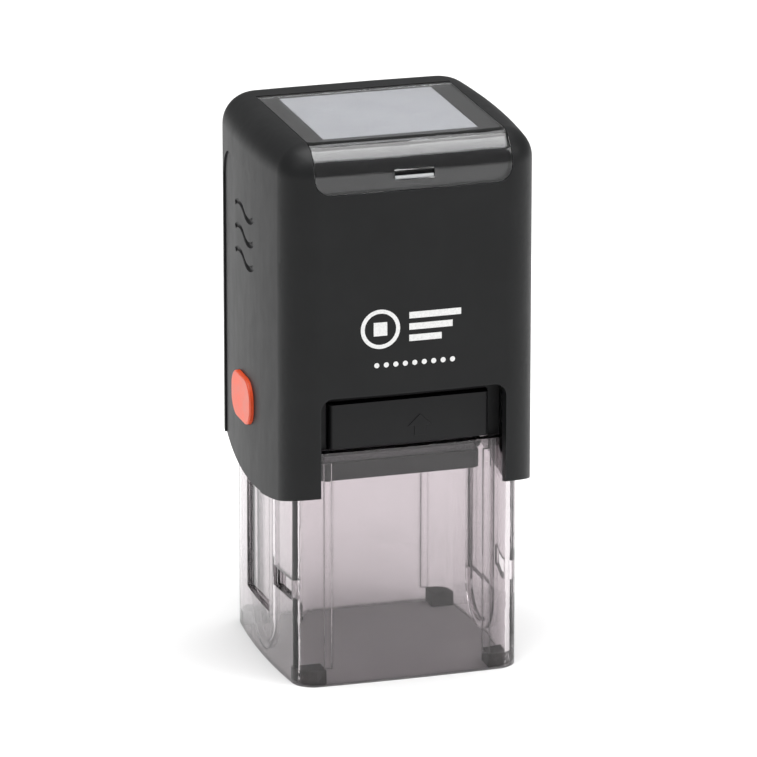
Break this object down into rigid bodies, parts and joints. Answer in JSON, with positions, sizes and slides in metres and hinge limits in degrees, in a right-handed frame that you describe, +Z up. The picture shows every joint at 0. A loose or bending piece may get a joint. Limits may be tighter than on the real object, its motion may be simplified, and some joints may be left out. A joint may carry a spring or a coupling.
{
  "type": "self inking stamp",
  "caption": "Square self-inking hand stamp: black sliding case with card window and lock buttons over a smoky clear base, with a turning print plate and ink pad.",
  "frame": {"origin": "on the table under the middle of the base skirt, at rest", "axes": "+Z up, -Y towards the front, with the window tab and the notch; +X to the right seen from the front"},
  "size_m": [0.044, 0.0418, 0.089],
  "materials": {
    "case_black": "fine satin moulded texture",
    "skirt_smoke": "clear smoky moulded plastic",
    "frame_black": "plain moulded",
    "foot_rubber": "matt",
    "pad_felt": "ink-soaked felt",
    "foam": "fine cell foam",
    "die_rubber": "moulded relief",
    "steel": "drawn wire and pins",
    "window_smoke": "smoky clear cover",
    "card": "plain light grey card",
    "button_orange": "orange red moulded"
  },
  "bodies": {
    "base": {"base_skirt": "skirt_smoke", "pad_frame": "frame_black", "foot_front_left": "foot_rubber", "foot_front_right": "foot_rubber", "foot_rear_left": "foot_rubber", "foot_rear_right": "foot_rubber"},
    "ink_pad": {"ink_pad_tray": "frame_black", "ink_pad_felt": "pad_felt"},
    "case": {"outer_case": "case_black", "yoke": "frame_black", "index_card": "card", "return_spring": "steel"},
    "window": {"index_window": "window_smoke"},
    "print_unit": {"platen": "frame_black", "die_cushion": "foam", "rubber_die": "die_rubber", "axle_pin_left": "steel", "axle_pin_right": "steel", "flip_lug_left": "frame_black", "flip_lug_right": "frame_black"},
    "button_left": {"lock_button_left": "button_orange"},
    "button_right": {"lock_button_right": "button_orange"}
  },
  "joints": [
    {"name": "case_press", "type": "slide", "parent": "base", "child": "case", "axis": [0, 0, -1], "range_m": [0, 0.029], "stiffness_N_per_m": 180, "springref_m": -0.012, "deforming": ["return_spring"]},
    {"name": "platen_flip", "type": "hinge", "parent": "case", "child": "print_unit", "pos_m": [0, 0, 0.0339], "axis": [1, 0, 0], "range_deg": [0, 180]},
    {"name": "ink_pad_slide", "type": "slide", "parent": "base", "child": "ink_pad", "axis": [0, 1, 0], "range_m": [0, 0.0034]},
    {"name": "window_lift", "type": "hinge", "parent": "case", "child": "window", "pos_m": [0, 0.01205, 0.08845], "axis": [-1, 0, 0], "range_deg": [0, 75]},
    {"name": "button_left_push", "type": "slide", "parent": "case", "child": "button_left", "axis": [1, 0, 0], "range_m": [0, 0.0009], "stiffness_N_per_m": 900, "springref_m": -0.0005},
    {"name": "button_right_push", "type": "slide", "parent": "case", "child": "button_right", "axis": [-1, 0, 0], "range_m": [0, 0.0009], "stiffness_N_per_m": 900, "springref_m": -0.0005}
  ],
  "couplings": [
    {"joint": "platen_flip", "follows": "case_press", "rad_per_m": 108.33}
  ]
}
